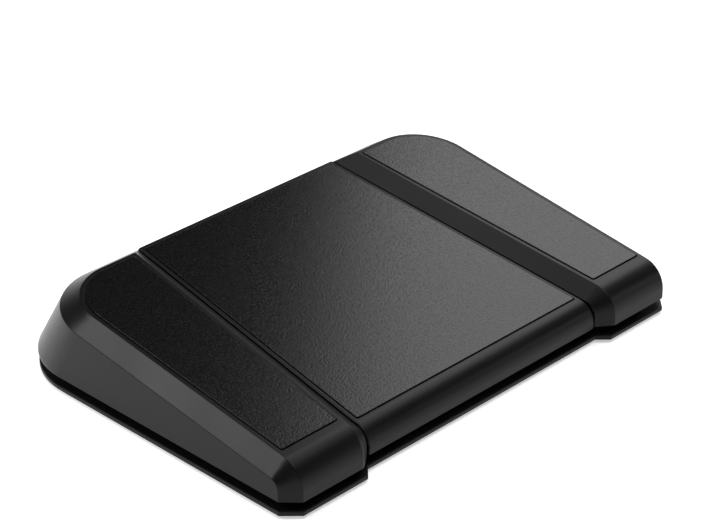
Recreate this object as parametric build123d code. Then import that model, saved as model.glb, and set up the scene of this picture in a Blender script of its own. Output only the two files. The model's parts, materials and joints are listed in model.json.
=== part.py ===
from build123d import *
import os
from math import asin, atan, cos, degrees, pi, radians, sin, sqrt, tan

os.makedirs("parts", exist_ok=True)

# Three-pedal foot switch. X runs across the pedals, Y from the low front edge (-Y) to the high
# rear (+Y) and Z is up. The origin lies on the floor under the middle of the base plate.

# Steel base plate, with its front corners cut off and its front edge stepped back at the middle
plate_width = 243.0
plate_depth = 183.6
plate_thickness = 2.0
plate_front_chamfer = 7.1
plate_rear_radius = 41.6
plate_bevel = 0.4
recess_overlap = 4.6
recess_depth = 5.0

# Rubber feet under the plate
foot_height = 1.5
foot_width = 44.0
foot_depth = 22.0
foot_corner = 5.0
foot_side_inset = 20.0
foot_end_inset = 8.0
foot_groove_depth = 0.5
foot_groove_width = 1.6
foot_grooves = 4

# Outer form of the pedals
pedal_setback = 0.2
pedal_gap = 4.3
top_rise = 27.44
side_top_height = 19.7
middle_drop = 5.2
side_lip_radius = 12.5
middle_lip_radius = 9.5
side_inner_share = 0.3008
pedal_spacing = 0.9
gap_splay = 4.2
facet_width = 6.9
facet_drop = 7.4
inner_facet_width = 7.0
inner_facet_drop = 5.5
rear_band = 1.3
rear_facet_setback = 23.2
rear_top_setback = 32.6
middle_rear_setback = 25.0
rear_radius_bottom = 40.2
rear_radius_facet = 32.0
rear_radius_top = 26.0
middle_edge_chamfer = 0.7

# Moulded caps
cap_wall = 2.6
lip_inner_least = 1.0
boss_radius = 3.5
boss_height = 3.0
rib_thickness = 1.6
rib_height = 2.0

# Textured grip pads let into the caps
pad_thickness = 1.2
pad_pocket_depth = 0.8
pad_groove = 0.4
pad_margin = 2.3
pad_corner = 1.0
side_pad_front = 14.5
middle_pad_front = 15.0

# Lever frames under the caps
frame_thickness = 2.5
side_frame_share = 0.3
middle_frame_inset = 10.8
frame_front = 12.0
frame_rear = 33.8
frame_corner = 8.0
frame_end_flat = 0.3
window_margin = 7.0
post_radius = 2.5

# Hinge near the low front edge
hinge_back = 20.0
hinge_height = 6.5
pin_radius = 2.0
eye_radius = 4.0
running_fit = 0.05
seat_fit = 0.02
knuckle_width = 6.0
saddle_width = 5.0
saddle_radius = 4.6
side_gap = 0.4
pin_overhang = 1.8
clip_thickness = 0.8
clip_radius = 3.2
clip_gap = 0.1
rear_travel = 3.71

# Moulded tray on the plate
tray_inset = 9.0
tray_floor = 2.0
tray_rim_height = 1.2
tray_rim_thickness = 1.6
channel_margin = 1.2
channel_start = 70.0

# Return springs
spring_setback = 45.6
spring_seat_rise = 2.3
spring_wire = 1.6
spring_outer_diameter = 14.0
spring_turns = 6
spring_post_clearance = 0.8
spring_post_height = 3.0
seat_land = 0.5
seat_radius = 7.6
middle_spring_share = 0.625

# Up-stop hooks and rubber bump stops
hook_width = 5.0
hook_thickness = 2.4
hook_foot = 3.0
hook_foot_height = 2.5
hook_rise = 3.5
hook_clearance = 0.5
hook_gap = 0.3
stop_gap = 0.3
ledge_height = 2.7
ledge_post = 3.0
hook_behind_spring = 9.2
bumper_radius = 3.5
bumper_height = 4.0
bumper_clearance = 0.4

# Circuit board and key switches
board_thickness = 1.6
board_pillar = 2.0
board_end_setback = 15.5
board_depth = 24.0
board_tongue_half_width = 11.0
board_rear_setback = 8.8
pillar_radius = 3.0
board_rear_screw_setback = 32.0
switch_ahead = 26.0
switch_lower_size = 14.0
switch_lower_height = 5.0
switch_size = 15.6
switch_top_size = 11.6
switch_height = 11.6
stem_width = 6.6
stem_depth = 5.2
stem_fit = 0.3
stem_body = 5.5
stem_post = 4.1
stem_post_web = 1.3
stem_rise = 3.6
stem_travel = 2.3
actuator_gap = 0.3
chip_size = 7.0
chip_height = 0.9
chip_gap = 10.5

# USB-C inlet at the rear
port_half_width = 11.0
port_height = 12.0
port_setback = 2.2
port_depth = 6.4
port_corner = 2.0
recess_width = 13.0
recess_height = 7.0
recess_length = 5.0
shell_width = 8.94
shell_height = 3.2
shell_length = 7.9
shell_wall = 0.3
shell_gap = 0.15
tongue_width = 6.7
tongue_thickness = 0.7
port_notch_gap = 0.9

# Screws
screw_radius = 1.45
screw_hole = 1.5
screw_clear_hole = 1.7
screw_head_radius = 2.8
screw_head_height = 1.8
screw_bite = 2.6
base_screw_head_radius = 3.0
base_screw_head_height = 1.1
base_screw_length = 8.0
tray_boss_radius = 4.0
tray_boss_height = 5.0
screw_socket_radius = 1.1
screw_socket_depth = 0.9
base_screw_x_shares = (0.165, 0.39)
rear_screw_x_shares = (0.165, 0.313)
base_screw_front_setback = 40.4
base_screw_board_gap = 13.7
base_screw_rear_setback = 35.8
boss_hinge_gap = 24.1
boss_spring_gap = 9.5
side_boss_offset = 9.0
middle_boss_inset = 8.0

# How far a cut or a construction block runs past what it cuts
overrun = 20.0
tiny = 0.01

# Levels and lines worked out from the sizes above
front_y = -plate_depth / 2
rear_y = plate_depth / 2
plate_bottom = foot_height
plate_top = foot_height + plate_thickness
floor_top = plate_top + tray_floor
pedal_bottom = plate_top + pedal_gap
band_top = pedal_bottom + rear_band
pedal_slope = degrees(atan(top_rise / plate_depth))
slope_cos = cos(radians(pedal_slope))
slope_rise = tan(radians(pedal_slope))
splay_rise = tan(radians(gap_splay))
side_inner_x = side_inner_share * plate_width
recess_half_width = side_inner_x + recess_overlap
outer_x = plate_width / 2 - pedal_setback
side_front = front_y + pedal_setback
middle_front = side_front + recess_depth
pedal_rear = rear_y - pedal_setback
hinge_y = front_y + hinge_back
hinge_z = plate_top + hinge_height
press = asin(rear_travel / (rear_y - hinge_y))
board_bottom = floor_top + board_pillar
board_top = board_bottom + board_thickness
spring_y = rear_y - spring_setback
switch_y = spring_y - switch_ahead
hook_y = spring_y + hook_behind_spring
switch_top = board_top + switch_height
stem_top = switch_top + stem_rise
bumper_top = floor_top + bumper_height
hook_z = floor_top + hook_rise
port_rear = rear_y - port_setback
port_front = port_rear - port_depth
port_top = plate_top + port_height
shell_mid = board_top + shell_height / 2
frame_top_depth = cap_wall + boss_height
frame_bottom_depth = frame_top_depth + frame_thickness
spring_radius = (spring_outer_diameter - spring_wire) / 2
spring_post_radius = spring_radius - spring_wire / 2 - spring_post_clearance
side_centre_x = (outer_x + side_inner_x - splay_rise * hinge_back) / 2 - pedal_spacing
side_frame_half_width = side_frame_share * (outer_x - side_inner_x)
middle_wall_x = side_inner_x - splay_rise * (plate_depth - frame_rear) - pedal_spacing - cap_wall
middle_frame_half_width = middle_wall_x - middle_frame_inset
frame_rear_corner = side_frame_half_width - frame_end_flat
side_knuckle_offset = side_frame_half_width - knuckle_width
middle_knuckle_offset = middle_frame_half_width - knuckle_width / 2
middle_boss_x = middle_frame_half_width - middle_boss_inset
middle_spring_x = middle_spring_share * middle_frame_half_width
bumper_offset = seat_radius + bumper_clearance + bumper_radius
board_half_length = plate_width / 2 - board_end_setback
board_channel_x = side_inner_x - splay_rise * (switch_y - front_y) + cap_wall + channel_margin
board_outer_screw_x = (board_channel_x + side_centre_x - switch_size / 2) / 2
first_row = hinge_y + boss_hinge_gap
last_row = spring_y - boss_spring_gap
boss_rows = (first_row, (first_row + last_row) / 2, last_row)


def top_z(y, drop=0):
    """Height of the side pedals' top plane at y, or of a plane that lies lower by drop."""
    return plate_top + side_top_height + slope_rise * (y - front_y) - drop


def inner_x(y):
    """X of the right pedal's inner wall at y; the gap lines splay towards the front."""
    return side_inner_x - splay_rise * (y - front_y)


def top_plane(drop=0, depth=0):
    """The plane of a pedal's top, lowered by drop and then sunk square to itself by depth."""
    plane = Plane(
        origin=(0, front_y, top_z(front_y, drop)),
        x_dir=(1, 0, 0),
        z_dir=(0, -sin(radians(pedal_slope)), cos(radians(pedal_slope))),
    )
    return plane.offset(-depth)


def along(y, depth=0):
    """Distance up the slope, in a plane sunk by depth, of the point over y."""
    return (y - front_y) / slope_cos - depth * slope_rise


def frame_bottom(y, drop):
    """Height of the underside of a lever frame at y."""
    return top_z(y, drop) - frame_bottom_depth / slope_cos


def travel(y):
    """How far a pedal goes down at y when it is pressed to its stop."""
    return sin(press) * (y - hinge_y)


def polygon(points):
    return make_face(Polyline(*points, close=True))


def box(x0, x1, y0, y1, z0, z1):
    size = Box(x1 - x0, y1 - y0, z1 - z0, align=(Align.MIN, Align.MIN, Align.MIN))
    return Pos(x0, y0, z0) * size


def post(x, y, z0, z1, radius):
    return Pos(x, y, z0) * Cylinder(radius, z1 - z0, align=(Align.CENTER, Align.CENTER, Align.MIN))


def rod(x0, x1, y, z, radius):
    """A round bar along X."""
    section = Plane(origin=(x0, y, z), x_dir=(0, 1, 0), z_dir=(1, 0, 0)) * Circle(radius)
    return extrude(section, amount=x1 - x0)


def nearest(vertices, x, y):
    return sorted(vertices, key=lambda v: (v.X - x) ** 2 + (v.Y - y) ** 2)[:1]


def plate_outline():
    """Outline of the base plate, drawn once and used by the plate and the tray."""
    half = plate_width / 2
    cut = plate_front_chamfer
    step = recess_half_width - recess_depth
    right = [
        (step, front_y + recess_depth),
        (recess_half_width, front_y),
        (half - cut, front_y),
        (half, front_y + cut),
        (half, rear_y),
    ]
    left = [(-x, y) for x, y in reversed(right)]
    face = polygon(right + left)
    corners = nearest(face.vertices(), half, rear_y) + nearest(face.vertices(), -half, rear_y)
    return fillet(corners, plate_rear_radius)


def pedal_profile(front, drop, lip, inset, rear_points):
    """Side view of a pedal: upright front, rounded lip, sloping top and the given rear."""
    bottom = pedal_bottom - (overrun if inset else 0)
    sunk = drop + inset / slope_cos
    line = front + inset
    face = polygon([(line, bottom), (line, top_z(line, sunk))] + rear_points(bottom, sunk))
    nose = nearest(face.vertices(), line, top_z(line, sunk))
    return Plane.YZ * fillet(nose, max(lip - inset, lip_inner_least))


def rear_outline(plane, x_out, v_rear, v_front, radius):
    """Cross-section of the right pedal's rear, with its one rounded corner."""
    face = polygon([(0, v_front), (x_out, v_front), (x_out, v_rear), (0, v_rear)])
    return plane * fillet(nearest(face.vertices(), x_out, v_rear), radius)


def side_form(inset=0.0):
    """Outer form of the right pedal, or its hollow when inset by a wall."""
    bottom = pedal_bottom - (overrun if inset else 0)
    far = rear_y + overrun
    near = side_front - overrun
    out = outer_x - inset
    sunk = inset / slope_cos

    def open_rear(low, drop):
        return [(far, top_z(far, drop)), (far, low)]

    profile = pedal_profile(side_front, 0, side_lip_radius, inset, open_rear)
    plan = polygon([
        (inner_x(side_front) + inset, side_front),
        (out, side_front),
        (out, far),
        (inner_x(far) + inset, far),
    ])
    block = extrude(profile, amount=plate_width) & extrude(
        Pos(0, 0, bottom) * plan, amount=top_z(far) + overrun
    )

    def rim(face):
        return face.edges().filter_by(
            lambda e: e.center().Z > bottom + tiny and e.center().Y < far - tiny
        )

    outer_face = block.faces().sort_by(Axis.X)[-1]
    block = chamfer(rim(outer_face), facet_drop * slope_cos, facet_width, reference=outer_face)
    inner_face = block.faces().filter_by(
        lambda f: f.normal_at().X < -cos(radians(gap_splay + pedal_slope))
    )[0]
    block = chamfer(
        rim(inner_face), inner_facet_drop * slope_cos, inner_facet_width, reference=inner_face
    )

    level = Plane.XY
    foot = rear_outline(
        level.offset(bottom), out, pedal_rear - inset, near, rear_radius_bottom - inset
    )
    band = rear_outline(
        level.offset(band_top), out, pedal_rear - inset, near, rear_radius_bottom - inset
    )
    waist = rear_outline(
        top_plane(facet_drop + sunk),
        out,
        along(rear_y - rear_facet_setback - inset),
        along(near),
        rear_radius_facet - inset,
    )
    crown = rear_outline(
        top_plane(sunk),
        out - facet_width,
        along(rear_y - rear_top_setback - inset),
        along(near),
        rear_radius_top - inset,
    )
    rear = extrude(foot, amount=band_top - bottom) + loft([band, waist, crown], ruled=True)
    return block & rear


def middle_form(inset=0.0):
    """Outer form of the middle pedal, or its hollow when inset by a wall."""
    far = pedal_rear - inset
    half_gap = pedal_spacing + inset

    def leaning_rear(low, drop):
        top = rear_y - middle_rear_setback - inset
        return [(top, top_z(top, drop)), (far, band_top), (far, low)]

    profile = pedal_profile(middle_front, middle_drop, middle_lip_radius, inset, leaning_rear)
    plan = polygon([
        (inner_x(front_y) - half_gap, front_y),
        (inner_x(rear_y) - half_gap, rear_y),
        (half_gap - inner_x(rear_y), rear_y),
        (half_gap - inner_x(front_y), front_y),
    ])
    slab = Pos(-plate_width / 2, 0, 0) * extrude(profile, amount=plate_width)
    column = Pos(0, 0, pedal_bottom - overrun) * extrude(plan, amount=top_z(rear_y) + overrun)
    return slab & column


def soften(solid):
    """Break the long upper edges of the middle cap."""
    edges = solid.edges().filter_by(
        lambda e: abs(e.tangent_at(0).Y) > 1 / 2
        and e.center().Z > (pedal_bottom + top_z(0)) / 2
        and abs(e.center().X) > inner_x(0) / 2
    )
    return fillet(edges, middle_edge_chamfer)


def side_pad_outline(grow=0.0):
    """Grip pad of the right pedal, in its top plane, grown all round by grow."""
    x_out = outer_x - facet_width - pad_margin + grow
    rear = rear_y - rear_top_setback - pad_margin + grow
    front = front_y + side_pad_front - grow
    inside = inner_facet_width + pad_margin - grow
    face = polygon([
        (inner_x(front) + inside, along(front)),
        (x_out, along(front)),
        (x_out, along(rear)),
        (inner_x(rear) + inside, along(rear)),
    ])
    corner = nearest(face.vertices(), x_out, along(rear))
    face = fillet(corner, rear_radius_top - pad_margin + grow)
    ends = nearest(face.vertices(), x_out, along(front))
    ends += nearest(face.vertices(), inner_x(front) + inside, along(front))
    ends += nearest(face.vertices(), inner_x(rear) + inside, along(rear))
    return fillet(ends, pad_corner)


def middle_pad_outline(grow=0.0):
    """Grip pad of the middle pedal, in its top plane, grown all round by grow."""
    front = front_y + middle_pad_front - grow
    rear = rear_y - middle_rear_setback - pad_margin + grow
    edge = pedal_spacing + pad_margin - grow
    face = polygon([
        (inner_x(front) - edge, along(front)),
        (inner_x(rear) - edge, along(rear)),
        (edge - inner_x(rear), along(rear)),
        (edge - inner_x(front), along(front)),
    ])
    return fillet(face.vertices(), pad_corner)


def boss_places(xs):
    return [(x, row) for x in xs for row in boss_rows]


def underside(drop, xs):
    """Screw bosses and stiffening ribs under a cap's top."""
    roof = top_plane(drop, cap_wall)
    places = boss_places(xs)
    spots = [Pos(x, along(y)) for x, y in places]
    bosses = [roof * spot * Circle(boss_radius) for spot in spots]
    made = [extrude(face, amount=-boss_height) + extrude(face, amount=cap_wall / 2) for face in bosses]
    v_low = along(first_row)
    v_high = along(last_row)
    for x in xs:
        strip = roof * Pos(x, (v_low + v_high) / 2) * Rectangle(rib_thickness, v_high - v_low)
        made.append(extrude(strip, amount=-rib_height) + extrude(strip, amount=cap_wall / 2))
    for row in boss_rows:
        if len(xs) > 1:
            span = xs[-1] - xs[0]
            strip = roof * Pos((xs[0] + xs[-1]) / 2, along(row))
            strip = strip * Rectangle(span, rib_thickness)
            made.append(extrude(strip, amount=-rib_height) + extrude(strip, amount=cap_wall / 2))
    solid = made[0]
    for piece in made[1:]:
        solid += piece
    mouth = top_plane(drop, cap_wall + boss_height)
    depth = boss_height + cap_wall / 4
    holes = [extrude(mouth * spot * Circle(screw_hole), amount=depth) for spot in spots]
    return solid, holes


def board_arches():
    """Cut-outs in the caps' adjoining walls that let the circuit board pass under them."""
    y0 = switch_y - board_depth / 2 - overrun / 4
    y1 = switch_y + board_depth / 2 + overrun / 4
    top = board_top + travel(y1) + seat_land
    reach = pedal_spacing + cap_wall + overrun / 4
    right = box(inner_x(y0) - reach, inner_x(y0) + reach, y0, y1, pedal_bottom - overrun, top)
    return right + right.mirror(Plane.YZ)


def cap(form, hollow, pad_outline, drop, xs):
    """A hollow moulded cap with its pad pocket, bosses and ribs."""
    lining, holes = underside(drop, xs)
    shell = form - hollow
    shell = shell + (lining & form)
    pocket = extrude(top_plane(drop) * pad_outline(pad_groove), amount=-pad_pocket_depth)
    shell = shell - pocket - extrude(top_plane(drop) * pad_outline(pad_groove), amount=overrun)
    for hole in holes:
        shell = shell - hole
    return shell - board_arches()


def grip_pad(pad_outline, drop):
    seat = top_plane(drop, pad_pocket_depth)
    return extrude(seat * pad_outline(), amount=pad_thickness)


def screw(place, shank, head_radius, head_height):
    """A screw along a plane's normal: shank from the plane, head behind it with a hex socket."""
    body = extrude(place * Circle(screw_radius), amount=shank)
    head = extrude(place * Circle(head_radius), amount=-head_height)
    outside = place.offset(-head_height)
    socket = extrude(outside * RegularPolygon(screw_socket_radius, 6), amount=screw_socket_depth)
    return body + head - socket


def cap_screws(drop, xs):
    """The screws that hold a lever frame to its cap, seen from below."""
    made = []
    for x, y in boss_places(xs):
        plane = top_plane(drop, frame_bottom_depth)
        spot = plane * Pos(x, along(y))
        place = Plane(origin=spot.position, x_dir=(1, 0, 0), z_dir=plane.z_dir)
        made.append(screw(
            place, frame_thickness + screw_bite, screw_head_radius, screw_head_height
        ))
    return Compound(children=made)


def upright(x, width, z_top_plane, y, z, radius):
    """A flat arm along X's width that ends in a round eye at y, z."""
    section = Pos(y, z) * Circle(radius) + polygon([
        (y - radius, z), (y + radius, z), (y + radius, z_top_plane), (y - radius, z_top_plane),
    ])
    return Pos(x - width / 2, 0, 0) * extrude(Plane.YZ * section, amount=width)


def lever_frame(drop, centre, half, knuckle, xs, springs, stops):
    """Lever frame of one pedal: plate, hinge knuckles, spring seats, actuator, hooks and stops."""
    y0 = front_y + frame_front
    y1 = rear_y - frame_rear
    plane = top_plane(drop, frame_bottom_depth)
    v0 = along(y0, frame_bottom_depth)
    v1 = along(y1, frame_bottom_depth)
    outline = polygon([
        (centre - half, v0), (centre + half, v0), (centre + half, v1), (centre - half, v1),
    ])
    outline = fillet(outline.vertices().group_by(Axis.Y)[0], frame_corner)
    rear_corners = nearest(outline.vertices(), centre - half, v1)
    rear_corners += nearest(outline.vertices(), centre + half, v1)
    blank = extrude(plane * fillet(rear_corners, frame_rear_corner), amount=frame_thickness)
    high = top_z(rear_y)
    low_points = []
    for side in (-1, 1):
        low_points.append(upright(
            centre + side * knuckle, knuckle_width, high, hinge_y, hinge_z, eye_radius
        ))
    for x in springs:
        low_points.append(post(x, spring_y, spring_top(drop), high, seat_radius))
        low_points.append(post(
            x, spring_y, spring_top(drop) - spring_post_height, high, spring_post_radius
        ))
    low_points.append(post(centre, switch_y, stem_top + actuator_gap, high, post_radius))
    for x in stops:
        stop_z = bumper_top + travel(spring_y) + stop_gap
        low_points.append(post(x, spring_y, stop_z, high, post_radius))
    for x in springs:
        y = hook_y - hook_thickness / 2
        x0 = x - hook_width / 2
        low_points.append(box(x0, x0 + hook_width, y, y + hook_thickness, hook_z, high))
        low_points.append(box(
            x0, x0 + hook_width, y, y + hook_thickness + hook_foot, hook_z, hook_z + hook_foot_height
        ))
    solid = blank
    above = extrude(top_plane(drop, frame_bottom_depth - frame_thickness / 2)
                    * Rectangle(2 * plate_width, 3 * plate_depth), amount=high)
    for piece in low_points:
        solid += piece - above
    solid -= rod(centre - half - overrun, centre + half + overrun, hinge_y, hinge_z,
                 pin_radius + running_fit)
    for x, y in boss_places(xs):
        hole = plane * Pos(x, along(y)) * Circle(screw_clear_hole)
        solid -= extrude(hole, amount=frame_thickness)
    return solid - frame_windows(plane, centre, xs)


def frame_windows(plane, centre, xs):
    """Weight-saving windows between the screw rows, left out round the actuator."""
    made = []
    for low, high in zip(boss_rows, boss_rows[1:]):
        for x0, x1 in zip(xs, xs[1:]):
            va = along(low) + window_margin
            vb = along(high) - window_margin
            if low < switch_y < high and x0 < centre < x1:
                continue
            width = x1 - x0 - window_margin
            spot = Pos((x0 + x1) / 2, (va + vb) / 2)
            cut = plane * spot * RectangleRounded(width, vb - va, min(width, vb - va) / 4)
            made.append(extrude(cut, amount=frame_thickness))
    solid = made[0]
    for piece in made[1:]:
        solid += piece
    return solid


def spring_top(drop):
    return frame_bottom(spring_y - seat_radius, drop) - seat_land


# All four springs are alike, and the middle pedal, which lies lowest, sets their length
spring_length = spring_top(middle_drop) - floor_top - spring_seat_rise


def return_spring(x, drop):
    """A round-wire compression spring between the tray and a lever frame."""
    rise = spring_length - spring_wire
    pitch = rise / spring_turns
    path = Helix(pitch=pitch, height=rise, radius=spring_radius)
    start = Plane(origin=path @ 0, z_dir=path % 0)
    coil = sweep(start * Circle(spring_wire / 2), path=path, is_frenet=True)
    low = spring_top(drop) - spring_length + spring_wire / 2
    return Pos(x, spring_y, low) * coil


def axle(centre, knuckle):
    half = knuckle + knuckle_width / 2 + side_gap + saddle_width + pin_overhang
    return rod(centre - half, centre + half, hinge_y, hinge_z, pin_radius)


def axle_clip(centre, knuckle, side):
    near = knuckle + knuckle_width / 2 + side_gap + saddle_width + clip_gap
    x = centre + side * (near + clip_thickness / 2)
    ring = rod(x - clip_thickness / 2, x + clip_thickness / 2, hinge_y, hinge_z, clip_radius)
    hole = rod(x - clip_thickness, x + clip_thickness, hinge_y, hinge_z, pin_radius + seat_fit)
    mouth = box(x - clip_thickness, x + clip_thickness, hinge_y - pin_radius / 2,
                hinge_y + pin_radius / 2, hinge_z, hinge_z + 2 * clip_radius)
    return ring - hole - mouth


def side_pedal(side):
    """Places of a side pedal's parts; side is -1 for the left pedal and 1 for the right."""
    centre = side * side_centre_x
    return dict(
        drop=0.0, centre=centre, half=side_frame_half_width, knuckle=side_knuckle_offset,
        xs=(centre - side_boss_offset, centre + side_boss_offset), springs=(centre,),
        stops=(centre - side * bumper_offset,),
    )


pedals = {
    "left": side_pedal(-1),
    "middle": dict(
        drop=middle_drop, centre=0.0, half=middle_frame_half_width, knuckle=middle_knuckle_offset,
        xs=(-middle_boss_x, 0.0, middle_boss_x), springs=(-middle_spring_x, middle_spring_x),
        stops=(bumper_offset - middle_spring_x, middle_spring_x - bumper_offset),
    ),
    "right": side_pedal(1),
}


def base_plate():
    """Steel plate with its top edge broken, and the holes of the base screws."""
    solid = extrude(Pos(0, 0, plate_bottom) * plate_outline(), amount=plate_thickness)
    rim = solid.faces().sort_by(Axis.Z)[-1].edges()
    solid = fillet(rim, plate_bevel)
    for x, y in base_screw_places():
        solid -= post(x, y, plate_bottom, plate_top, screw_hole)
    return solid


def base_screw_places():
    front = front_y + base_screw_front_setback
    waist = switch_y - board_depth / 2 - base_screw_board_gap
    rear = rear_y - base_screw_rear_setback
    spots = [(share, y) for share in base_screw_x_shares for y in (front, waist)]
    spots += [(share, rear) for share in rear_screw_x_shares]
    return [(side * share * plate_width, y) for share, y in spots for side in (-1, 1)]


def foot(x, y):
    """Rubber foot pad with moulded grooves across its underside."""
    outline = Pos(x, y) * RectangleRounded(foot_width, foot_depth, foot_corner)
    solid = extrude(outline, amount=foot_height)
    for step in range(foot_grooves):
        line = x + ((step + 1) / (foot_grooves + 1) - 1 / 2) * foot_width
        solid -= box(
            line - foot_groove_width / 2, line + foot_groove_width / 2,
            y - foot_depth, y + foot_depth, 0, foot_groove_depth,
        )
    return solid


def saddle(x):
    """Hinge saddle of the tray: an upright with the axle's hole."""
    section = Pos(hinge_y, hinge_z) * Circle(saddle_radius)
    section += polygon([
        (hinge_y - saddle_radius, plate_top), (hinge_y + saddle_radius, plate_top),
        (hinge_y + saddle_radius, hinge_z), (hinge_y - saddle_radius, hinge_z),
    ])
    return Pos(x - saddle_width / 2, 0, 0) * extrude(Plane.YZ * section, amount=saddle_width)


def spring_seat(x, drop):
    """Raised seat of the tray for a return spring, with its locating post."""
    low = spring_top(drop) - spring_length
    seat = post(x, spring_y, plate_top, low, seat_radius)
    return seat + post(x, spring_y, plate_top, low + spring_post_height, spring_post_radius)


def hook_ledge(x):
    """Bracket of the tray over an up-stop hook."""
    wide = hook_width / 2 + hook_clearance
    under = hook_z + hook_foot_height + hook_gap
    near = hook_y + hook_thickness / 2 + hook_clearance
    far = hook_y + hook_thickness / 2 + hook_foot + hook_clearance
    shelf = box(x - wide, x + wide, near, far + ledge_post, under, under + ledge_height)
    return shelf + box(x - wide, x + wide, far, far + ledge_post, plate_top, under + ledge_height)


def port_housing():
    """Housing of the USB inlet: a rounded block with a recess for the plug's grip."""
    width = 2 * port_half_width
    outline = Pos(0, (plate_top + port_top) / 2) * RectangleRounded(
        width, port_height, port_corner
    )
    face = Plane(origin=(0, port_rear, 0), x_dir=(-1, 0, 0), z_dir=(0, 1, 0))
    block = extrude(face * outline, amount=-port_depth)
    block += box(-port_half_width, port_half_width, port_front - tray_inset, port_rear,
                 plate_top, floor_top)
    recess = face * Pos(0, shell_mid) * RectangleRounded(recess_width, recess_height, port_corner)
    block -= extrude(recess, amount=-recess_length)
    hole = face * Pos(0, shell_mid) * RectangleRounded(
        shell_width + 2 * shell_gap, shell_height + 2 * shell_gap, shell_height / 2
    )
    return block - extrude(hole, amount=-port_depth)


def board_screw_places():
    xs = (middle_boss_x, board_outer_screw_x)
    places = [(side * x, switch_y) for x in xs for side in (-1, 1)]
    return places + [(0, rear_y - board_rear_screw_setback)]


def chassis_tray():
    """Moulded tray that carries the hinges, springs, stops, circuit board and USB inlet."""
    outline = offset(plate_outline(), -tray_inset)
    solid = extrude(Pos(0, 0, plate_top) * outline, amount=tray_floor)
    rim = outline - offset(outline, -tray_rim_thickness)
    solid += extrude(Pos(0, 0, plate_top) * rim, amount=tray_floor + tray_rim_height)
    y0 = front_y + channel_start
    half = cap_wall + channel_margin
    groove = polygon([
        (inner_x(y0) - pedal_spacing - half, y0), (inner_x(y0) + half, y0),
        (inner_x(rear_y) + half, rear_y), (inner_x(rear_y) - pedal_spacing - half, rear_y),
    ])
    channel = extrude(Pos(0, 0, plate_top) * groove, amount=overrun)
    solid -= channel + channel.mirror(Plane.YZ)
    for pedal in pedals.values():
        for side in (-1, 1):
            reach = knuckle_width / 2 + side_gap + saddle_width / 2
            solid += saddle(pedal["centre"] + side * (pedal["knuckle"] + reach))
        for x in pedal["springs"]:
            solid += spring_seat(x, pedal["drop"]) + hook_ledge(x)
    for x, y in board_screw_places():
        solid += post(x, y, plate_top, board_bottom, pillar_radius)
    for x, y in base_screw_places():
        solid += post(x, y, plate_top, floor_top + tray_boss_height, tray_boss_radius)
    solid += port_housing()
    solid -= rod(-outer_x, outer_x, hinge_y, hinge_z, pin_radius + seat_fit)
    for x, y in board_screw_places():
        solid -= post(x, y, plate_top, board_bottom, screw_hole)
    for x, y in base_screw_places():
        solid -= post(x, y, plate_top, plate_bottom + base_screw_length, screw_hole)
    return solid


def bumper(x):
    """Rubber bump stop with a domed edge."""
    solid = post(x, spring_y, floor_top, bumper_top, bumper_radius)
    return fillet(solid.faces().sort_by(Axis.Z)[-1].edges(), bumper_height / 4)


def circuit_board():
    """T-shaped board under the three switches, with a tongue back to the USB inlet."""
    level = Pos(0, 0, board_bottom)
    bar = level * Pos(0, switch_y) * RectangleRounded(
        2 * board_half_length, board_depth, pillar_radius
    )
    board = extrude(bar, amount=board_thickness)
    board += box(
        -board_tongue_half_width, board_tongue_half_width, switch_y, rear_y - board_rear_setback,
        board_bottom, board_top,
    )
    for x, y in board_screw_places():
        board -= post(x, y, board_bottom, board_top, screw_clear_hole)
    return board


def board_screws():
    made = []
    for x, y in board_screw_places():
        place = Plane(origin=(x, y, board_top), x_dir=(1, 0, 0), z_dir=(0, 0, -1))
        length = board_thickness + board_pillar
        made.append(screw(place, length, screw_head_radius, screw_head_height))
    return Compound(children=made)


def base_screws():
    made = []
    for x, y in base_screw_places():
        place = Plane(origin=(x, y, plate_bottom), x_dir=(1, 0, 0), z_dir=(0, 0, 1))
        made.append(screw(
            place, base_screw_length, base_screw_head_radius, base_screw_head_height
        ))
    return Compound(children=made)


def key_switch(x):
    """Housing of a key switch: square lower case, tapered upper case and the stem's well."""
    level = Plane(origin=(x, switch_y, board_top))
    lower = extrude(level * Rectangle(switch_lower_size, switch_lower_size),
                    amount=switch_lower_height)
    deck = level.offset(switch_lower_height)
    upper = loft([
        deck * Rectangle(switch_size, switch_size),
        level.offset(switch_height) * Rectangle(switch_top_size, switch_top_size),
    ])
    well = box(
        x - stem_width / 2 - stem_fit, x + stem_width / 2 + stem_fit,
        switch_y - stem_depth / 2 - stem_fit, switch_y + stem_depth / 2 + stem_fit,
        switch_top - stem_body - stem_travel - stem_fit, switch_top,
    )
    return lower + upper - well


def switch_stem(x):
    """Sliding stem with its cross-shaped post."""
    body = box(
        x - stem_width / 2, x + stem_width / 2, switch_y - stem_depth / 2,
        switch_y + stem_depth / 2, switch_top - stem_body, switch_top + stem_fit,
    )
    wide, web = stem_post / 2, stem_post_web / 2
    one = box(x - wide, x + wide, switch_y - web, switch_y + web, switch_top, stem_top)
    two = box(x - web, x + web, switch_y - wide, switch_y + wide, switch_top, stem_top)
    return body + one + two


def controller_chip():
    half = chip_size / 2
    x = switch_size / 2 + chip_gap + half
    solid = box(x - half, x + half, switch_y - half, switch_y + half, board_top,
                board_top + chip_height)
    return chamfer(solid.faces().sort_by(Axis.Z)[-1].edges(), chip_height / 4)


def usb_shell():
    """Steel shell of the USB-C receptacle, lying on the board's tongue."""
    mouth = Plane(origin=(0, port_rear - recess_length, shell_mid), x_dir=(-1, 0, 0),
                  z_dir=(0, 1, 0))
    outer = RectangleRounded(shell_width, shell_height, shell_height / 2 - tiny)
    inner = RectangleRounded(
        shell_width - 2 * shell_wall, shell_height - 2 * shell_wall,
        shell_height / 2 - shell_wall - tiny,
    )
    solid = extrude(mouth * outer, amount=-shell_length)
    return solid - extrude(mouth * inner, amount=-(shell_length - shell_wall))


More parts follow.
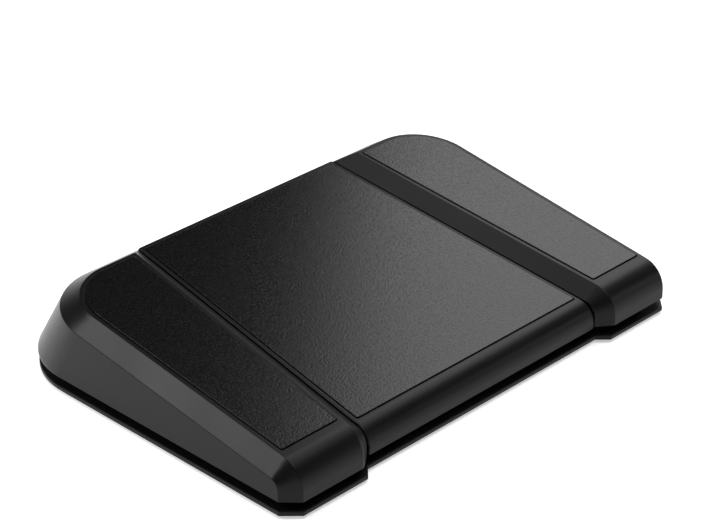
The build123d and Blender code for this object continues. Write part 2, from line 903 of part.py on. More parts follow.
def usb_tongue():
    """Contact tongue inside the receptacle."""
    back = port_rear - recess_length - shell_length + shell_wall
    half = tongue_width / 2
    return box(-half, half, back, port_rear - recess_length - shell_wall,
               shell_mid - tongue_thickness / 2, shell_mid + tongue_thickness / 2)


def port_notch():
    """Notch in the middle cap's rear skirt that goes down round the USB inlet."""
    half = port_half_width + port_notch_gap
    return box(-half, half, port_front - overrun, rear_y + overrun, pedal_bottom - overrun,
               port_top + travel(rear_y) + port_notch_gap)


def least_gap(coils, step_count):
    """Least distance of a coil from its own neighbouring turns, wire surface to surface."""
    pitch = (spring_length - spring_wire) / coils
    least = spring_length
    for step in range(step_count):
        turn = 1 / 2 + step / step_count
        angle = 2 * pi * turn
        across = 2 * spring_radius * sin(angle / 2)
        least = min(least, sqrt(across ** 2 + (pitch * turn) ** 2) - spring_wire)
    return least


nodes = {}
nodes["base_plate"] = base_plate()
foot_x = plate_width / 2 - foot_side_inset - foot_width / 2
foot_y = plate_depth / 2 - foot_end_inset - foot_depth / 2
for row, y in (("front", -foot_y), ("rear", foot_y)):
    for side, x in (("left", -foot_x), ("right", foot_x)):
        nodes[f"foot_{row}_{side}"] = foot(x, y)
nodes["chassis_tray"] = chassis_tray()
nodes["circuit_board"] = circuit_board()
nodes["controller_chip"] = controller_chip()
nodes["usb_receptacle_shell"] = usb_shell()
nodes["usb_receptacle_tongue"] = usb_tongue()
nodes["board_screws"] = board_screws()
nodes["base_screws"] = base_screws()

right_cap = cap(side_form(), side_form(cap_wall), side_pad_outline, 0, pedals["right"]["xs"])
right_pad = grip_pad(side_pad_outline, 0)
middle = pedals["middle"]
middle_cap = cap(
    soften(middle_form()), middle_form(cap_wall), middle_pad_outline, middle_drop, middle["xs"]
)
nodes["pedal_cap_left"] = right_cap.mirror(Plane.YZ)
nodes["pedal_cap_middle"] = middle_cap - port_notch()
nodes["pedal_cap_right"] = right_cap
nodes["grip_pad_left"] = right_pad.mirror(Plane.YZ)
nodes["grip_pad_middle"] = grip_pad(middle_pad_outline, middle_drop)
nodes["grip_pad_right"] = right_pad

for name, pedal in pedals.items():
    drop = pedal["drop"]
    centre = pedal["centre"]
    nodes[f"lever_frame_{name}"] = lever_frame(**pedal)
    nodes[f"cap_screws_{name}"] = cap_screws(drop, pedal["xs"])
    nodes[f"hinge_axle_{name}"] = axle(centre, pedal["knuckle"])
    nodes[f"axle_clips_{name}"] = Compound(children=[
        axle_clip(centre, pedal["knuckle"], side) for side in (-1, 1)
    ])
    nodes[f"key_switch_{name}"] = key_switch(centre)
    nodes[f"switch_stem_{name}"] = switch_stem(centre)
    nodes[f"bump_stops_{name}"] = Compound(children=[bumper(x) for x in pedal["stops"]])
nodes["return_spring_left"] = return_spring(-side_centre_x, 0)
nodes["return_spring_middle_left"] = return_spring(-middle_spring_x, middle_drop)
nodes["return_spring_middle_right"] = return_spring(middle_spring_x, middle_drop)
nodes["return_spring_right"] = return_spring(side_centre_x, 0)

for name, solid in nodes.items():
    export_step(solid, f"parts/{name}.step")

print("nodes", len(nodes))
print("least gap between spring turns", round(least_gap(spring_turns, 90), 2), "mm")
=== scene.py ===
import json
from math import pi, radians, sin

import bmesh
import bpy
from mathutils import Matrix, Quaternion, Vector


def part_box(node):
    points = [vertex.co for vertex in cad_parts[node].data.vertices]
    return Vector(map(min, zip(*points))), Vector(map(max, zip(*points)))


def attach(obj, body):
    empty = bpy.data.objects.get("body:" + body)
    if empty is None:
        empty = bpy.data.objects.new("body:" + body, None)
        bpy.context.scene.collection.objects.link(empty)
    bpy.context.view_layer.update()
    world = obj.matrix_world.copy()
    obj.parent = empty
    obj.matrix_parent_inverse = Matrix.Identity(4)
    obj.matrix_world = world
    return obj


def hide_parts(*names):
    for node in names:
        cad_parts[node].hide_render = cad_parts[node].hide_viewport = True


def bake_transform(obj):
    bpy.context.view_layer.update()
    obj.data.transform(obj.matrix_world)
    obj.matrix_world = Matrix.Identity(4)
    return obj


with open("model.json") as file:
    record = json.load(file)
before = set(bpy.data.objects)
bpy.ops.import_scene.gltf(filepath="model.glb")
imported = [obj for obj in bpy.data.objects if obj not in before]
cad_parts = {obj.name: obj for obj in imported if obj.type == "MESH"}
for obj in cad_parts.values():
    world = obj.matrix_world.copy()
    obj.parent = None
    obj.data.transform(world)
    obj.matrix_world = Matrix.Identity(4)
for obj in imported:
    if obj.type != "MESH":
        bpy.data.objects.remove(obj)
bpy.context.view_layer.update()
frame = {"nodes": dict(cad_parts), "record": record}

# The looks of a foot switch with three pedals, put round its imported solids. Lengths are in
# metres, in the axes of the solids: X across the pedals, Y from front to rear, Z up.
MM = 0.001

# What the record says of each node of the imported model
SLOT_OF = {part["node"]: part["material_slot"] for part in frame["record"]["subparts"]}
BODY_OF = {
    node: body
    for body, nodes in frame["record"]["behaviour"]["bodies"].items()
    for node in nodes
}
PEDALS = ("left", "middle", "right")

# Edges that a mould or a cutter leaves, and the angles from which they are broken
CAP_EDGE = 0.25 * MM
PAD_EDGE = 0.2 * MM
CUT_EDGE = 0.2 * MM
MOULDED_SEGMENTS = 3
CUT_SEGMENTS = 2
SHARP_EDGE = radians(12)
CORNER_EDGE = radians(40)
EASED_NODES = (
    "chassis_tray", "foot_front_left", "foot_front_right", "foot_rear_left", "foot_rear_right",
)

# A node's loose triangles are joined where their points lie within WELD, and made one face
# where they lie within FLAT_ANGLE of one plane
WELD = 0.002 * MM
FLAT_ANGLE = radians(0.4)

# Each return spring and the pedal that presses it
SPRING_PEDALS = {
    "left": "left", "middle_left": "middle", "middle_right": "middle", "right": "right",
}

# Sizes of the surface patterns, and how far steel's fine lines are drawn out
PLASTIC_IOR = 1.5
PEBBLE_WIDTH = 0.85 * MM
PEBBLE_HEIGHT = 0.08 * MM
SATIN_CLOUD = 30 * MM
FLOW_CLOUD = 9 * MM
FLOW_STRETCH = (1.0, 0.35, 1.0)
TRACK_PITCH = 6 * MM
TRACK_LINE = 0.03
STEEL_STRETCH = (0.08, 1.0, 1.0)
STEEL_SMOOTHER = 0.06
STEEL_ROUGHER = 0.08

# Screws under the plate
SCREW_SIDES = 32
SOCKET_SIDES = 6
SCREW_PITCH = 0.7 * MM
SEGMENTS_PER_TURN = 2.0
THREAD_CORE_SHARE = 0.8
CASE_HEAD_HEIGHT = 1.1 * MM
CASE_HEAD_CROWN = 0.3 * MM
CASE_SOCKET_RADIUS = 1.1 * MM
CASE_SOCKET_DEPTH = 0.8 * MM
CASE_SHANK_RADIUS = 1.45 * MM

# Contacts on each face of the USB tongue
CONTACTS = 12
CONTACT_PITCH = 0.5 * MM
CONTACT_WIDTH = 0.25 * MM
CONTACT_LENGTH = 3.6 * MM
CONTACT_SETBACK = 0.4 * MM
CONTACT_THICKNESS = 0.04 * MM

# Camera, as fitted to the object's corners and edges
CAMERA_AZIMUTH = -45.676
CAMERA_ELEVATION = 28.927
CAMERA_PLACE = Vector((-676.6, -673.2, 562.7)) * MM
CAMERA_NEAREST = 0.01
IMAGE_WIDTH = 724
FOCAL_PIXELS = 2461.5
SENSOR_WIDTH = 36.0

# Studio: floor, backdrop, ceiling and scrim. Angles are heights above the horizon.
WHITE = (1, 1, 1, 1)
FLOOR_HALF = 30.0
FLOOR_COLOUR = "e6e6e6"
FLOOR_ROUGHNESS = 0.9
FLOOR_GLOW = 0.5
BACKDROP_TOP = radians(5)
BACKDROP_LEVEL = 1.0
CEILING_START = radians(18)
CEILING_LEVEL = 0.03
SCRIM_START = radians(48)
SCRIM_FULL = radians(62)
SCRIM_LEVEL = 0.35

# Lamps: the even light from above, and the soft boxes. A soft box has its place, the point it
# shines at, its width and height, its power in watts and its roll about its own line.
OVERHEAD_PLACE = (0.15, -0.15, 1.2)
OVERHEAD_LEVEL = 1.9
OVERHEAD_SPREAD = radians(50)
SOFT_BOXES = {
    # Lights the right pedal and most of the middle one. Its mirrored edge crosses the middle pad.
    "right_box": {
        "place": (0.553, 0.155, 0.53), "target": (0.0, 0.0, 0.03),
        "size": (0.37, 0.5), "power": 1.9, "roll": radians(24),
    },
    # Lights the wall and the facet of the left pedal
    "left_box": {
        "place": (-0.567, 0.315, 0.448), "target": (-0.115, -0.02, 0.032),
        "size": (0.32, 0.2), "power": 2.2, "roll": 0.0,
    },
    # Draws a dim line along the front lip of the right pedal
    "front_box": {
        "place": (0.556, -0.519, 0.267), "target": (0.093, -0.089, 0.02),
        "size": (0.3, 0.1), "power": 0.2, "roll": 0.0,
    },
    # Lifts the tops of the front lips
    "high_box": {
        "place": (-0.24, 0.27, 0.73), "target": (0.068, 0.0, 0.035),
        "size": (0.3, 0.3), "power": 0.75, "roll": 0.0,
    },
}


# Nodes and finishes

def linear(hex_colour):
    """An sRGB hex colour as an opaque linear RGBA value."""
    out = []
    for place in (0, 2, 4):
        value = int(hex_colour[place:place + 2], 16) / 255
        out.append(value / 12.92 if value <= 0.04045 else ((value + 0.055) / 1.055) ** 2.4)
    return (*out, 1.0)


def set_sockets(tree, node, sockets):
    """Gives each socket of a node an output to follow, or a plain value."""
    for socket, source in sockets.items():
        if isinstance(source, bpy.types.NodeSocket):
            tree.links.new(source, node.inputs[socket])
        else:
            node.inputs[socket].default_value = source


def add_node(tree, kind, sockets=None, **settings):
    """Adds a node with its own settings, then its sockets."""
    node = tree.nodes.new(kind)
    for name, value in settings.items():
        setattr(node, name, value)
    set_sockets(tree, node, sockets or {})
    return node


def new_material(name, colour, roughness, metallic=0.0, specular_level=0.5):
    """A Principled material with only its base set; returns it, its tree and its shader."""
    material = bpy.data.materials.new(name)
    material.use_nodes = True
    tree = material.node_tree
    shader = tree.nodes["Principled BSDF"]
    set_sockets(tree, shader, {
        "Base Color": linear(colour), "Roughness": roughness, "Metallic": metallic,
        "Specular IOR Level": specular_level,
    })
    if not metallic:
        shader.inputs["IOR"].default_value = PLASTIC_IOR
    return material, tree, shader


def pattern_place(tree, stretch=(1.0, 1.0, 1.0)):
    """Object coordinates, scaled so that a pattern can be longer one way."""
    place = add_node(tree, "ShaderNodeTexCoord")
    mapping = add_node(tree, "ShaderNodeMapping", {
        "Vector": place.outputs["Object"], "Scale": stretch,
    })
    return mapping.outputs["Vector"]


def grain_bump(tree, shader, vector, width, depth, detail=2.0, coarseness=0.5):
    """Grain of a real width and depth, as bump; returns its height, from 0 to 1."""
    noise = add_node(tree, "ShaderNodeTexNoise", {
        "Vector": vector, "Scale": 1 / width, "Detail": detail, "Roughness": coarseness,
    })
    bump = add_node(tree, "ShaderNodeBump", {
        "Height": noise.outputs["Fac"], "Distance": depth, "Strength": 1.0,
    })
    set_sockets(tree, shader, {"Normal": bump.outputs["Normal"]})
    return noise.outputs["Fac"]


def spread_roughness(tree, shader, height, valley, top, start=0.3, end=0.7):
    """Lets the roughness go from its value in a pattern's valleys to the one on its tops."""
    ranged = add_node(tree, "ShaderNodeMapRange", {
        "Value": height, "From Min": start, "From Max": end, "To Min": valley, "To Max": top,
    })
    set_sockets(tree, shader, {"Roughness": ranged.outputs["Result"]})


def moulded_abs():
    """Satin moulded ABS: a very fine spark grain that spreads reflections into soft bands."""
    material, tree, shader = new_material("moulded_satin_abs", "0f0f0f", roughness=0.3,
                                          specular_level=0.15)
    vector = pattern_place(tree)
    grain_bump(tree, shader, vector, width=0.45 * MM, depth=0.012 * MM)
    cloud = add_node(tree, "ShaderNodeTexNoise", {
        "Vector": vector, "Scale": 1 / SATIN_CLOUD, "Detail": 3.0,
    })
    spread_roughness(tree, shader, cloud.outputs["Fac"], valley=0.3, top=0.34)
    return material


def grained_sheet():
    """Embossed vinyl sheet: pebbles that shine on top and stay dull in the valleys between them.

    The real grain is about 0.6 mm wide. It is drawn half as coarse again, as fine as the
    render can show.
    """
    material, tree, shader = new_material("embossed_vinyl_sheet", "0d0d0d", roughness=0.26,
                                          specular_level=0.25)
    vector = pattern_place(tree)
    pebbles = grain_bump(tree, shader, vector, PEBBLE_WIDTH, PEBBLE_HEIGHT, detail=1.5,
                         coarseness=0.55)
    # Painted shade: the base colour is darker in the valleys between the pebbles, where shade
    # falls.
    valley_painted_shade = add_node(tree, "ShaderNodeMix", {
        "Factor": pebbles, "A": linear("070707"), "B": linear("0e0e0e"),
    }, data_type="RGBA")
    set_sockets(tree, shader, {"Base Color": valley_painted_shade.outputs["Result"]})
    spread_roughness(tree, shader, pebbles, valley=0.28, top=0.165, start=0.39, end=0.61)
    return material


def powder_coat():
    """Black powder coat on sheet steel: low orange peel and a soft sheen."""
    material, tree, shader = new_material("powder_coated_steel", "101010", roughness=0.4,
                                          specular_level=0.15)
    peel = grain_bump(tree, shader, pattern_place(tree), width=0.7 * MM, depth=0.02 * MM)
    spread_roughness(tree, shader, peel, valley=0.36, top=0.46)
    return material


def glass_filled_nylon():
    """Moulded glass-filled nylon: dull black with faint flow clouds."""
    material, tree, shader = new_material("moulded_glass_filled_nylon", "181818",
                                          roughness=0.55)
    vector = pattern_place(tree, FLOW_STRETCH)
    grain_bump(tree, shader, vector, width=0.6 * MM, depth=0.015 * MM)
    flow = add_node(tree, "ShaderNodeTexNoise", {
        "Vector": vector, "Scale": 1 / FLOW_CLOUD, "Detail": 4.0,
    })
    spread_roughness(tree, shader, flow.outputs["Fac"], valley=0.48, top=0.64)
    return material


def moulded_rubber():
    """Moulded rubber: deep matt black with a dusty bloom."""
    material, tree, shader = new_material("moulded_rubber", "121212", roughness=0.78)
    bloom = grain_bump(tree, shader, pattern_place(tree), width=0.5 * MM, depth=0.02 * MM)
    spread_roughness(tree, shader, bloom, valley=0.7, top=0.86)
    return material


def solder_mask():
    """Green solder mask over glass laminate: glossy, with copper tracks just showing through."""
    material, tree, shader = new_material("solder_masked_laminate", "0f4f2a", roughness=0.3)
    tracks = add_node(tree, "ShaderNodeTexBrick", {
        "Vector": pattern_place(tree), "Scale": 1 / TRACK_PITCH, "Mortar Size": TRACK_LINE,
        "Color1": linear("0f4f2a"), "Color2": linear("125731"), "Mortar": linear("1d6b3f"),
    })
    set_sockets(tree, shader, {"Base Color": tracks.outputs["Color"]})
    return material


def drawn_metal(name, colour, roughness):
    """Drawn or plated metal: bright, with fine lines along the part."""
    material, tree, shader = new_material(name, colour, roughness, metallic=1.0)
    lines = grain_bump(tree, shader, pattern_place(tree, STEEL_STRETCH), width=0.25 * MM,
                       depth=0.004 * MM)
    spread_roughness(tree, shader, lines, roughness - STEEL_SMOOTHER, roughness + STEEL_ROUGHER)
    return material


def small_plastic(name, colour, roughness):
    """Small moulded part: smooth from a polished mould, with the least trace of flow."""
    material, tree, shader = new_material(name, colour, roughness)
    grain_bump(tree, shader, pattern_place(tree), width=0.3 * MM, depth=0.004 * MM)
    return material


# The finish of each slot of the record, and of the contacts, which are gold flash on nickel
MATERIALS = {
    "cap_plastic": moulded_abs(),
    "pad_vinyl": grained_sheet(),
    "powder_coated_steel": powder_coat(),
    "nylon": glass_filled_nylon(),
    "rubber": moulded_rubber(),
    "board_laminate": solder_mask(),
    "chip_epoxy": small_plastic("moulded_chip_epoxy", "1b1b1c", 0.5),
    "bright_steel": drawn_metal("bright_drawn_steel", "b9bbbd", 0.28),
    "spring_steel": drawn_metal("oiled_spring_wire", "8c8e92", 0.35),
    "zinc_steel": drawn_metal("bright_zinc_plate", "aeb3b8", 0.33),
    "switch_plastic": small_plastic("moulded_switch_nylon", "1e1e1f", 0.45),
    "stem_plastic": small_plastic("moulded_acetal_stem", "1f4f9a", 0.35),
    "contact_gold": drawn_metal("gold_flashed_contact", "d8b25a", 0.25),
}


def dress(obj, slot_name):
    """Gives an object the one material of a slot."""
    obj.data.materials.clear()
    obj.data.materials.append(MATERIALS[slot_name])


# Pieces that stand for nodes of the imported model

def add_object(name, data):
    """A new object in the scene."""
    obj = bpy.data.objects.new(name, data)
    bpy.context.scene.collection.objects.link(obj)
    return obj


def put_in_place(name, mesh, node):
    """A new piece that stands for a node and rides on its body."""
    piece = add_object(name, mesh)
    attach(piece, BODY_OF[node])
    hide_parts(node)
    return piece


def joined_mesh(node, name, join_flats):
    """A smooth copy of a node's mesh, with its loose triangles joined."""
    mesh = frame["nodes"][node].data.copy()
    mesh.name = name
    work = bmesh.new()
    work.from_mesh(mesh)
    bmesh.ops.remove_doubles(work, verts=work.verts, dist=WELD)
    if join_flats:
        bmesh.ops.dissolve_limit(work, angle_limit=FLAT_ANGLE, verts=work.verts,
                                 edges=work.edges)
    for face in work.faces:
        face.smooth = True
    work.to_mesh(mesh)
    work.free()
    return mesh


def add_rounding(obj, width, segments, angle):
    """Rounds the edges that are sharper than an angle."""
    rounding = obj.modifiers.new("edge rounding", "BEVEL")
    rounding.width = width
    rounding.segments = segments
    rounding.limit_method = "ANGLE"
    rounding.angle_limit = angle
    return rounding


def moulded_copy(node, name, edge, segments):
    """A copy of a node with its sharp edges rounded and its flat faces kept flat."""
    piece = put_in_place(name, joined_mesh(node, name, join_flats=True), node)
    dress(piece, SLOT_OF[node])
    add_rounding(piece, edge, segments, SHARP_EDGE).use_clamp_overlap = False
    flats = piece.modifiers.new("flat faces stay flat", "WEIGHTED_NORMAL")
    flats.mode = "FACE_AREA"
    flats.keep_sharp = True


def eased_edges(obj):
    """Breaks the corners of a carried-over node with live modifiers."""
    weld = obj.modifiers.new("weld", "WELD")
    weld.merge_threshold = WELD
    add_rounding(obj, CUT_EDGE, CUT_SEGMENTS, CORNER_EDGE)


def yielding_spring(node, name):
    """A return spring as a smooth copy of its node, which stays where it is on no body."""
    piece = add_object(name, joined_mesh(node, name, join_flats=False))
    dress(piece, SLOT_OF[node])
    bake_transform(piece)
    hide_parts(node)


def loose_parts(node):
    """The lowest and highest corner of each loose solid of a node."""
    work = bmesh.new()
    work.from_mesh(frame["nodes"][node].data)
    bmesh.ops.remove_doubles(work, verts=work.verts, dist=WELD)
    found, seen = [], set()
    for start in work.verts:
        if start in seen:
            continue
        seen.add(start)
        island, waiting = [], [start]
        while waiting:
            vert = waiting.pop()
            island.append(vert.co.copy())
            for edge in vert.link_edges:
                other = edge.other_vert(vert)
                if other not in seen:
                    seen.add(other)
                    waiting.append(other)
        low = Vector([min(co[axis] for co in island) for axis in range(3)])
        high = Vector([max(co[axis] for co in island) for axis in range(3)])
        found.append((low, high))
    work.free()
    return found


# Repeated small pieces, made by node trees with their sizes as inputs

def new_tree(name, sizes):
    """A Geometry Nodes tree that is given points, named sizes and a material."""
    tree = bpy.data.node_groups.new(name, "GeometryNodeTree")
    sockets = tree.interface
    sockets.new_socket("Points", in_out="INPUT", socket_type="NodeSocketGeometry")
    for size in sizes:
        sockets.new_socket(size, in_out="INPUT", socket_type="NodeSocketFloat")
    sockets.new_socket("Material", in_out="INPUT", socket_type="NodeSocketMaterial")
    sockets.new_socket("Made", in_out="OUTPUT", socket_type="NodeSocketGeometry")
    return tree, add_node(tree, "NodeGroupInput").outputs


def close_tree(tree, given, unit):
    """Puts the unit on every point and ends the tree with real geometry and its material."""
    copies = add_node(tree, "GeometryNodeInstanceOnPoints", {
        "Points": given["Points"], "Instance": unit,
    })
    real = add_node(tree, "GeometryNodeRealizeInstances", {
        "Geometry": copies.outputs["Instances"],
    })
    painted = add_node(tree, "GeometryNodeSetMaterial", {
        "Geometry": real.outputs["Geometry"], "Material": given["Material"],
    })
    add_node(tree, "NodeGroupOutput", {"Made": painted.outputs["Geometry"]})


def made_by(tree, name, points, sizes, slot_name):
    """The plain mesh that a tree makes on some points with the given sizes."""
    source = bpy.data.meshes.new(name + "_points")
    source.from_pydata(points, [], [])
    worker = add_object(name + "_worker", source)
    nodes = worker.modifiers.new("repeat", "NODES")
    nodes.node_group = tree
    values = dict(sizes, Material=MATERIALS[slot_name])
    for item in tree.interface.items_tree:
        if item.item_type == "SOCKET" and item.in_out == "INPUT" and item.name in values:
            nodes[item.identifier] = values[item.name]
    graph = bpy.context.evaluated_depsgraph_get()
    mesh = bpy.data.meshes.new_from_object(worker.evaluated_get(graph))
    mesh.name = name
    bpy.data.objects.remove(worker)
    return mesh


def moved(tree, geometry, size, share):
    """Geometry moved along Z by a share of a size of the tree."""
    step = add_node(tree, "ShaderNodeMath", {0: size, 1: share}, operation="MULTIPLY")
    place = add_node(tree, "ShaderNodeCombineXYZ", {"Z": step.outputs[0]})
    move = add_node(tree, "GeometryNodeTransform", {
        "Geometry": geometry, "Translation": place.outputs["Vector"],
    })
    return move.outputs["Geometry"]


def screw_head(tree, given):
    """A crowned head with a hexagon socket, below the point that its shank starts from."""
    skirt_height = add_node(tree, "ShaderNodeMath", {
        0: given["Head Height"], 1: given["Crown"],
    }, operation="SUBTRACT").outputs[0]
    skirt = add_node(tree, "GeometryNodeMeshCylinder", {
        "Radius": given["Head Radius"], "Depth": skirt_height, "Vertices": SCREW_SIDES,
    })
    skirt = moved(tree, skirt.outputs["Mesh"], skirt_height, -0.5)
    crown_radius = add_node(tree, "ShaderNodeMath", {
        0: given["Head Radius"], 1: given["Crown"],
    }, operation="SUBTRACT").outputs[0]
    crown = add_node(tree, "GeometryNodeMeshCone", {
        "Radius Top": given["Head Radius"], "Radius Bottom": crown_radius,
        "Depth": given["Crown"], "Vertices": SCREW_SIDES,
    })
    crown = moved(tree, crown.outputs["Mesh"], given["Head Height"], -1.0)
    twice_depth = add_node(tree, "ShaderNodeMath", {
        0: given["Socket Depth"], 1: 2.0,
    }, operation="MULTIPLY").outputs[0]
    socket = add_node(tree, "GeometryNodeMeshCylinder", {
        "Radius": given["Socket Radius"], "Depth": twice_depth, "Vertices": SOCKET_SIDES,
    })
    socket = moved(tree, socket.outputs["Mesh"], given["Head Height"], -1.0)
    head = add_node(tree, "GeometryNodeMeshBoolean", operation="UNION")
    for part in (skirt, crown):
        tree.links.new(part, head.inputs["Mesh 2"])
    hollow = add_node(tree, "GeometryNodeMeshBoolean", {
        "Mesh 1": head.outputs["Mesh"], "Mesh 2": socket,
    }, operation="DIFFERENCE")
    return hollow.outputs["Mesh"]


def screw_shank(tree, given):
    """A shank above the point, drawn in and out along its length as a thread is."""
    turns = add_node(tree, "ShaderNodeMath", {
        0: given["Shank Length"], 1: SCREW_PITCH,
    }, operation="DIVIDE").outputs[0]
    segments = add_node(tree, "ShaderNodeMath", {
        0: turns, 1: SEGMENTS_PER_TURN,
    }, operation="MULTIPLY").outputs[0]
    shank = add_node(tree, "GeometryNodeMeshCylinder", {
        "Radius": given["Shank Radius"], "Depth": given["Shank Length"],
        "Side Segments": segments, "Vertices": SCREW_SIDES,
    })
    ring = add_node(tree, "GeometryNodeInputPosition")
    height = add_node(tree, "ShaderNodeSeparateXYZ", {"Vector": ring.outputs["Position"]})
    wave = add_node(tree, "ShaderNodeMath", {
        0: height.outputs["Z"], 1: 2 * pi / SCREW_PITCH,
    }, operation="MULTIPLY")
    crest = add_node(tree, "ShaderNodeMath", {0: wave.outputs[0]}, operation="COSINE")
    narrow = add_node(tree, "ShaderNodeMapRange", {
        "Value": crest.outputs[0], "From Min": -1.0, "To Min": THREAD_CORE_SHARE,
    })
    scale = add_node(tree, "ShaderNodeCombineXYZ", {
        "X": narrow.outputs["Result"], "Y": narrow.outputs["Result"], "Z": 1.0,
    })
    threaded = add_node(tree, "ShaderNodeVectorMath", {
        0: ring.outputs["Position"], 1: scale.outputs["Vector"],
    }, operation="MULTIPLY")
    shank = add_node(tree, "GeometryNodeSetPosition", {
        "Geometry": shank.outputs["Mesh"], "Position": threaded.outputs["Vector"],
    })
    return moved(tree, shank.outputs["Geometry"], given["Shank Length"], 0.5)


def screw_tree():
    """Screws that point up: head below the point, threaded shank above it."""
    tree, given = new_tree("socket_screws", (
        "Head Radius", "Head Height", "Crown", "Socket Radius", "Socket Depth",
        "Shank Radius", "Shank Length",
    ))
    head = screw_head(tree, given)
    shank = screw_shank(tree, given)
    whole = add_node(tree, "GeometryNodeJoinGeometry")
    for part in (head, shank):
        tree.links.new(part, whole.inputs["Geometry"])
    close_tree(tree, given, whole.outputs["Geometry"])
    return tree


def contact_tree():
    """Flat plated contact strips, one on each point."""
    tree, given = new_tree("contact_strips", ("Width", "Length", "Thickness"))
    size = add_node(tree, "ShaderNodeCombineXYZ", {
        "X": given["Width"], "Y": given["Length"], "Z": given["Thickness"],
    })
    strip = add_node(tree, "GeometryNodeMeshCube", {"Size": size.outputs["Vector"]})
    close_tree(tree, given, strip.outputs["Mesh"])
    return tree


def case_screws():
    """The screws that hold the tray to the plate, seen on the underside."""
    parts = loose_parts("base_screws")
    low = min(corner[0].z for corner in parts)
    points = [((a.x + b.x) / 2, (a.y + b.y) / 2, low + CASE_HEAD_HEIGHT) for a, b in parts]
    first_low, first_high = parts[0]
    sizes = {
        "Head Radius": (first_high.x - first_low.x) / 2,
        "Head Height": CASE_HEAD_HEIGHT,
        "Crown": CASE_HEAD_CROWN,
        "Socket Radius": CASE_SOCKET_RADIUS,
        "Socket Depth": CASE_SOCKET_DEPTH,
        "Shank Radius": CASE_SHANK_RADIUS,
        "Shank Length": first_high.z - low - CASE_HEAD_HEIGHT,
    }
    mesh = made_by(screw_tree(), "case_screws", points, sizes, SLOT_OF["base_screws"])
    put_in_place("case_screws", mesh, "base_screws")


def plug_contacts():
    """Gold contacts on both faces of the USB tongue."""
    low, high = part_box("usb_receptacle_tongue")
    middle = (low[0] + high[0]) / 2
    front = high[1] - CONTACT_SETBACK - CONTACT_LENGTH / 2
    points = [
        (middle + (place - (CONTACTS - 1) / 2) * CONTACT_PITCH, front, level)
        for place in range(CONTACTS) for level in (low[2], high[2])
    ]
    sizes = {
        "Width": CONTACT_WIDTH, "Length": CONTACT_LENGTH, "Thickness": CONTACT_THICKNESS,
    }
    mesh = made_by(contact_tree(), "plug_contacts", points, sizes, "contact_gold")
    piece = add_object("plug_contacts", mesh)
    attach(piece, BODY_OF["usb_receptacle_tongue"])


# Studio

def aim(obj, target, roll=0.0):
    """Turns a lamp so that it shines at a point, and rolls it about that line."""
    towards = (Vector(target) - obj.location).to_track_quat("-Z", "Y")
    obj.rotation_euler = (towards @ Quaternion((0, 0, 1), roll)).to_euler()


def soft_box(name, place, target, size, power, roll):
    """A rectangular soft box that the camera doesn't see."""
    data = bpy.data.lights.new(name, "AREA")
    data.shape = "RECTANGLE"
    data.size, data.size_y = size
    data.energy = power
    lamp = add_object(name, data)
    lamp.location = place
    lamp.visible_camera = False
    aim(lamp, target, roll)


def overhead_light():
    """Even soft light from above, the same all over the floor."""
    data = bpy.data.lights.new("overhead_light", "SUN")
    data.energy = OVERHEAD_LEVEL
    data.angle = OVERHEAD_SPREAD
    lamp = add_object("overhead_light", data)
    lamp.location = OVERHEAD_PLACE
    aim(lamp, (0, 0, 0))


def seen_or_mirrored(tree):
    """One for rays that show the studio itself: to the camera, mirrored or through glass."""
    rays = add_node(tree, "ShaderNodeLightPath")
    mirrored = add_node(tree, "ShaderNodeMath", {
        0: rays.outputs["Is Camera Ray"], 1: rays.outputs["Is Glossy Ray"],
    }, operation="MAXIMUM")
    through = add_node(tree, "ShaderNodeMath", {
        0: mirrored.outputs[0], 1: rays.outputs["Is Transmission Ray"],
    }, operation="MAXIMUM")
    return through.outputs[0]


def pale_floor():
    """A wide pale floor that keeps the object's shadow and looks white to the camera."""
    half = FLOOR_HALF
    mesh = bpy.data.meshes.new("floor")
    corners = [(-half, -half, 0), (half, -half, 0), (half, half, 0), (-half, half, 0)]
    mesh.from_pydata(corners, [], [(0, 1, 2, 3)])
    floor = add_object("floor", mesh)
    material, tree, shader = new_material("pale_studio_floor", FLOOR_COLOUR, FLOOR_ROUGHNESS,
                                          specular_level=0.0)
    glow = add_node(tree, "ShaderNodeMath", {
        0: seen_or_mirrored(tree), 1: FLOOR_GLOW,
    }, operation="MULTIPLY")
    set_sockets(tree, shader, {"Emission Color": WHITE, "Emission Strength": glow.outputs[0]})
    mesh.materials.append(material)


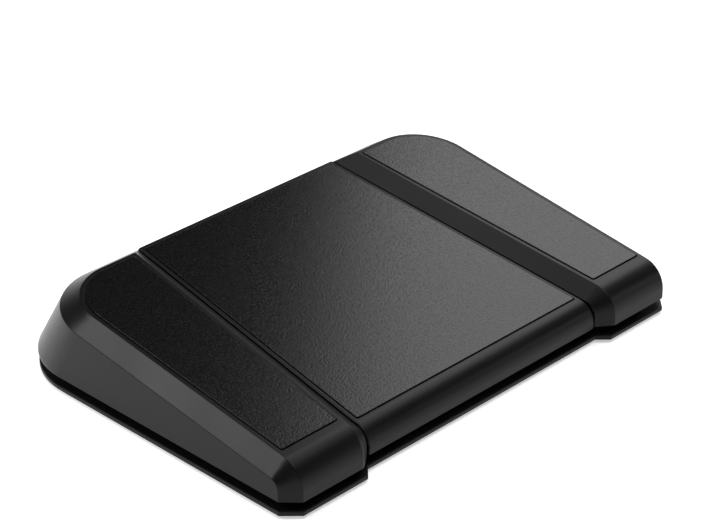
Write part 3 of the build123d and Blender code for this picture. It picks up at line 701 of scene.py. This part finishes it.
def studio_world():
    """A pale backdrop round the horizon, a dim wall above it and a softly lit scrim overhead."""
    world = bpy.data.worlds.new("studio")
    bpy.context.scene.world = world
    world.use_nodes = True
    tree = world.node_tree
    tree.nodes.clear()
    place = add_node(tree, "ShaderNodeTexCoord")
    height = add_node(tree, "ShaderNodeSeparateXYZ", {"Vector": place.outputs["Generated"]})
    wall = add_node(tree, "ShaderNodeMapRange", {
        "Value": height.outputs["Z"],
        "From Min": sin(BACKDROP_TOP), "From Max": sin(CEILING_START),
        "To Min": BACKDROP_LEVEL, "To Max": CEILING_LEVEL,
    }, interpolation_type="SMOOTHSTEP")
    scrim = add_node(tree, "ShaderNodeMapRange", {
        "Value": height.outputs["Z"],
        "From Min": sin(SCRIM_START), "From Max": sin(SCRIM_FULL),
        "To Max": SCRIM_LEVEL,
    }, interpolation_type="SMOOTHSTEP")
    both = add_node(tree, "ShaderNodeMath", {
        0: wall.outputs["Result"], 1: scrim.outputs["Result"],
    }, operation="ADD")
    room = add_node(tree, "ShaderNodeBackground", {
        "Color": WHITE, "Strength": both.outputs[0],
    })
    add_node(tree, "ShaderNodeOutputWorld", {"Surface": room.outputs[0]})


def studio_camera():
    """A long lens at the fitted place."""
    data = bpy.data.cameras.new("camera")
    data.sensor_fit = "HORIZONTAL"
    data.sensor_width = SENSOR_WIDTH
    data.lens = FOCAL_PIXELS / IMAGE_WIDTH * SENSOR_WIDTH
    data.clip_start = CAMERA_NEAREST
    camera = add_object("camera", data)
    camera.location = CAMERA_PLACE
    camera.rotation_euler = (radians(90 - CAMERA_ELEVATION), 0, radians(CAMERA_AZIMUTH))
    bpy.context.scene.camera = camera


# The object

for node, obj in frame["nodes"].items():
    dress(obj, SLOT_OF[node])
for side, pedal in SPRING_PEDALS.items():
    yielding_spring(f"return_spring_{side}", f"spring_coil_{side}")
for pedal in PEDALS:
    moulded_copy(f"pedal_cap_{pedal}", f"cap_shell_{pedal}", CAP_EDGE, MOULDED_SEGMENTS)
    moulded_copy(f"grip_pad_{pedal}", f"pad_sheet_{pedal}", PAD_EDGE, MOULDED_SEGMENTS)
moulded_copy("base_plate", "coated_plate", CUT_EDGE, CUT_SEGMENTS)
case_screws()
plug_contacts()
for node in EASED_NODES:
    eased_edges(frame["nodes"][node])

# Its surroundings

pale_floor()
studio_world()
studio_camera()
for name, values in SOFT_BOXES.items():
    soft_box(name, **values)
overhead_light()
bpy.context.scene.view_settings.view_transform = "Standard"
